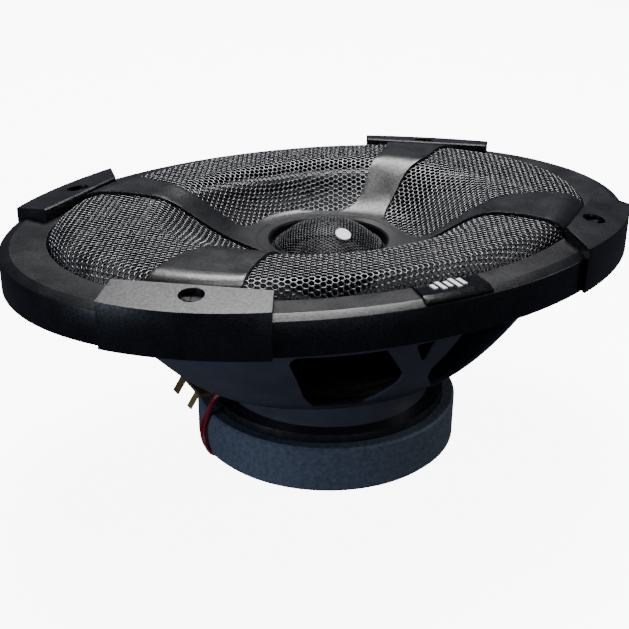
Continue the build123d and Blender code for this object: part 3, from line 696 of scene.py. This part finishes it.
def build_surround():
    """Rubber half roll, with an inner lip at the cone and its outer edge at the basket."""
    cone_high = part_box("cone")[1]
    low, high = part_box("surround")
    cone_x, cone_y = cone_high.x / MM, cone_high.y / MM
    edge_x, edge_y = high.x / MM, high.y / MM
    floor = low.z / MM
    thick = ROLL_THICK
    roll_r = (high.z - low.z) / MM - thick
    middle_x, middle_y = cone_x + roll_r, cone_y + roll_r
    steps = 14

    def roll(radius, base):
        section = []
        for i in range(steps + 1):
            a = math.pi * (1 - i / steps)
            out = radius * math.cos(a)
            section.append((middle_x + out, middle_y + out, base + radius * math.sin(a)))
        return section

    top = roll(roll_r, floor + thick)
    under = roll(roll_r - thick, floor)
    path = (
        [(cone_x - ROLL_LIP, cone_y - ROLL_LIP, floor), (cone_x - ROLL_LIP, cone_y - ROLL_LIP, floor + thick)]
        + top + [(edge_x, edge_y, floor + thick), (edge_x, edge_y, floor)] + under[::-1]
    )
    made = oval_hoop("surround_roll", path, bpy.data.materials["butyl_rubber"])
    follow_cone(made)
    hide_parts("surround")


def build_spider():
    """Corrugated cloth disc; its middle reaches to the coil former."""
    low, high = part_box("spider")
    former_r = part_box("coil_former")[1].x / MM
    outer_r = high.x / MM
    base = low.z / MM
    thick = SPIDER_THICK
    wave_height = (high.z - low.z) / MM - thick
    inner = former_r + 0.05
    wave_in, wave_out = inner + 1.5, outer_r - 4.5
    steps = 80
    top = [(inner, base + thick)]
    for i in range(steps + 1):
        rise = wave_height * (1 - math.cos(2 * math.pi * SPIDER_WAVES * i / steps)) / 2
        top.append((wave_in + (wave_out - wave_in) * i / steps, base + thick + rise))
    top.append((outer_r, base + thick))
    path = top + [(r, z - thick) for r, z in reversed(top)]
    made = turned_hoop("spider_cloth_disc", path, SPIDER_CLOTH)
    follow_cone(made)
    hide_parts("spider")


build_surround()
build_spider()


# ------------------------------------------------------------------ wires

def smooth_path(points, per_span=10):
    """A Catmull-Rom curve through the points."""
    p = np.array([points[0], *points, points[-1]], float)
    out = []
    for i in range(1, len(p) - 2):
        for k in range(per_span):
            t = k / per_span
            out.append(0.5 * ((2 * p[i]) + (p[i + 1] - p[i - 1]) * t
                              + (2 * p[i - 1] - 5 * p[i] + 4 * p[i + 1] - p[i + 2]) * t * t
                              + (3 * p[i] - p[i - 1] - 3 * p[i + 1] + p[i + 2]) * t ** 3))
    out.append(p[-2])
    return np.array(out)


def path_frames(path):
    """Tangent and two cross directions along a path, turned as little as possible."""
    tangents = np.gradient(path, axis=0)
    tangents /= np.linalg.norm(tangents, axis=1, keepdims=True)
    side = np.cross(tangents[0], [0.0, 1.0, 0.3])
    sides = []
    for tangent in tangents:
        side = side - tangent * (side @ tangent)
        side = side / np.linalg.norm(side)
        sides.append(side)
    sides = np.array(sides)
    return tangents, sides, np.cross(tangents, sides)


def tube(name, path, radius, material):
    """A closed round wire along a path in millimetres."""
    tangents, sides, ups = path_frames(path)
    points = []
    for i in range(len(path)):
        for k in range(WIRE_SIDES):
            a = 2 * math.pi * k / WIRE_SIDES
            points.append(path[i] + radius * (math.cos(a) * sides[i] + math.sin(a) * ups[i]))
    faces = [list(range(WIRE_SIDES))[::-1]]
    for i in range(len(path) - 1):
        for k in range(WIRE_SIDES):
            a = i * WIRE_SIDES + k
            b = i * WIRE_SIDES + (k + 1) % WIRE_SIDES
            faces.append([a, b, b + WIRE_SIDES, a + WIRE_SIDES])
    faces.append([(len(path) - 1) * WIRE_SIDES + k for k in range(WIRE_SIDES)])
    return new_mesh(name, points, faces, material)


def build_tweeter_wires():
    """The red pair: side by side, bowed round the boot, then along the back plate and up the vent."""
    boot_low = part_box("magnet_boot")[0]
    boot_r = -boot_low.x / MM
    floor = boot_low.z / MM
    board_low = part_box("terminal_board")[0]
    cup_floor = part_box("tweeter_cup")[0].z / MM
    channel = floor + 0.95
    route = [
        (-47.5, -9.0, board_low.z / MM - 0.9),
        (-boot_r - 0.5, -7.0, -48.5),
        (-boot_r - 1.2, -2.5, -56.5),
        (-boot_r - 1.6, 1.5, -64.0),
        (-boot_r - 1.4, 0.5, floor + 4.5),
        (-boot_r + 0.4, -2.4, channel + 0.6),
        (-43.0, -3.0, channel),
        (-20.0, -1.5, channel),
        (-4.0, 0.0, channel),
        (-0.6, 0.0, channel + 2.2),
        (0.0, 0.0, floor + 8.0),
        (0.0, 0.0, -50.0),
        (0.0, 0.0, -30.0),
        (0.0, 0.0, cup_floor - 1.0),
    ]
    path = smooth_path(route, 14)
    tangents = path_frames(path)[0]
    run = np.concatenate([[0], np.cumsum(np.linalg.norm(np.diff(path, axis=0), axis=1))])
    turn = 0.5 * np.sin(2 * math.pi * run / 30.0)
    along_y = np.tile([0.0, 1.0, 0.0], (len(path), 1))
    offset = along_y * np.cos(turn)[:, None] + np.cross(tangents, along_y) * np.sin(turn)[:, None]
    offset /= np.linalg.norm(offset, axis=1, keepdims=True)
    for name, sign in (("tweeter_wire_positive", 1), ("tweeter_wire_negative", -1)):
        made = tube(name + "_insulated", path + sign * RED_WIRE_OFFSET * offset, RED_WIRE_R, WIRE_RED)
        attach(made, "root")
        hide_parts(name)


def build_tinsel_leads():
    """Slack braided leads that rise beside the rivets towards the cone, and stop short of it."""
    for name in ("tinsel_lead_positive", "tinsel_lead_negative"):
        low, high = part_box(name)
        y = (low.y + high.y) / 2 / MM
        left, right = low.x / MM + 0.5, high.x / MM - 0.5
        floor, top = low.z / MM + 0.2, high.z / MM - 0.5
        route = [
            (left + 2.0, y, floor), (left + 0.3, y, floor + 4.0), (left + 0.9, y, floor + 8.5),
            (left + 3.2, y, top - 1.4), (right, y, top),
        ]
        path = smooth_path(route, 12)
        made = tube(name + "_braided", path, BRAID_R, TINSEL)
        follow_cone(made)
        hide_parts(name)


build_tweeter_wires()
build_tinsel_leads()


# ------------------------------------------------------------------ rounded edges

SOFT_EDGES = {"swirl_frame": 0.35, "grille_ring": 0.4, "badge_plate": 0.15, "top_plate": 0.3}
BEVEL_ANGLE = 35.0
BEVEL_SEGMENTS = 3
WELD_DISTANCE = 0.01


def soften(node, width_mm):
    """Rounds a CAD node's sharp edges with a bevel modifier."""
    obj = NODES[node]
    weld = obj.modifiers.new("weld", "WELD")
    weld.merge_threshold = WELD_DISTANCE * MM
    bevel = obj.modifiers.new("round", "BEVEL")
    bevel.width = width_mm * MM
    bevel.segments = BEVEL_SEGMENTS
    bevel.limit_method = "ANGLE"
    bevel.angle_limit = math.radians(BEVEL_ANGLE)
    bevel.use_clamp_overlap = True
    bevel.harden_normals = False


for node_name, edge_mm in SOFT_EDGES.items():
    soften(node_name, edge_mm)


# ------------------------------------------------------------------ floor, light and camera

PAPER_GLOW = 8.0              # how white the floor and the surround look to the camera
FLOOR_HALF = 6.0              # metres
FLOOR_GAP = 0.3               # keeps the floor clear of the boot's face


def build_stage():
    """Pale floor that carries on past the picture, and a white surround that stays dim in reflections."""
    size = FLOOR_HALF
    floor_z = CAD_BOX[0].z - FLOOR_GAP * MM
    data = bpy.data.meshes.new("floor")
    corners = [(-size, -size, floor_z), (size, -size, floor_z), (size, size, floor_z), (-size, size, floor_z)]
    data.from_pydata(corners, [], [(0, 1, 2, 3)])
    floor = bpy.data.objects.new("floor", data)
    bpy.context.scene.collection.objects.link(floor)
    made = Surface("floor_paper", 0.9)
    made.colour((0.9, 0.9, 0.9), (0.94, 0.94, 0.94), made.noise(40.0, 3.0))
    made.shader.inputs["Emission Color"].default_value = (1, 1, 1, 1)
    made.shader.inputs["Emission Strength"].default_value = PAPER_GLOW
    made.see_through_back()
    data.materials.append(made.material)
    floor.visible_glossy = False
    floor.visible_diffuse = False

    world = bpy.data.worlds.new("studio")
    bpy.context.scene.world = world
    world.use_nodes = True
    nodes, links = world.node_tree.nodes, world.node_tree.links
    background = nodes["Background"]
    paths = nodes.new("ShaderNodeLightPath")
    mix = nodes.new("ShaderNodeMix")
    mix.data_type = "RGBA"
    mix.inputs["A"].default_value = (0.05, 0.055, 0.075, 1)
    mix.inputs["B"].default_value = (PAPER_GLOW, PAPER_GLOW, PAPER_GLOW, 1)
    links.new(paths.outputs["Is Camera Ray"], mix.inputs["Factor"])
    links.new(mix.outputs["Result"], background.inputs["Color"])


def area_light(name, place, aim, size, watts):
    data = bpy.data.lights.new(name, "AREA")
    data.shape = "RECTANGLE"
    data.size, data.size_y = size
    data.energy = watts
    made = bpy.data.objects.new(name, data)
    bpy.context.scene.collection.objects.link(made)
    made.location = place
    made.rotation_euler = (Vector(aim) - Vector(place)).to_track_quat("-Z", "Y").to_euler()
    return made


def build_lights():
    """A softbox high on the far side lights slopes that face the camera; one overhead lifts the dish's bowl."""
    middle = (0, 0, -0.01)
    area_light("softbox", (0.33, 0.60, 1.08), middle, (0.7, 0.45), 30)
    area_light("overhead", (0.0, 0.02, 1.25), middle, (0.5, 0.3), 8)
    area_light("left_blue", (-1.25, -0.30, 0.10), middle, (0.5, 0.6), 9).data.color = (0.7, 0.8, 1.0)
    area_light("low_front", (-0.15, -1.2, -0.02), middle, (0.9, 0.25), 1.5).data.color = (0.8, 0.87, 1.0)
    area_light("right_strip", (1.1, -0.55, 0.5), middle, (0.2, 0.8), 4)


CAMERA_AZIMUTH = -28.74
CAMERA_ELEVATION = 24.73
CAMERA_ROLL = 0.99
CAMERA_DISTANCE = 0.43392
CAMERA_TARGET = (0.0, 0.0, -0.030)
CAMERA_LENS = 65.5
CAMERA_SHIFT = (-0.0201, 0.0089)


def build_camera():
    azimuth = math.radians(CAMERA_AZIMUTH)
    elevation = math.radians(CAMERA_ELEVATION)
    level = math.cos(elevation)
    back = Vector((math.sin(azimuth) * level, -math.cos(azimuth) * level, math.sin(elevation)))
    data = bpy.data.cameras.new("camera")
    data.lens = CAMERA_LENS
    data.shift_x, data.shift_y = CAMERA_SHIFT
    data.clip_start = 0.01
    camera = bpy.data.objects.new("camera", data)
    bpy.context.scene.collection.objects.link(camera)
    camera.location = Vector(CAMERA_TARGET) + back * CAMERA_DISTANCE
    upright = back.to_track_quat("Z", "Y").to_matrix()
    roll = Matrix.Rotation(math.radians(CAMERA_ROLL), 3, "Z")
    camera.rotation_euler = (upright @ roll).to_euler()
    bpy.context.scene.camera = camera


build_stage()
build_lights()
build_camera()
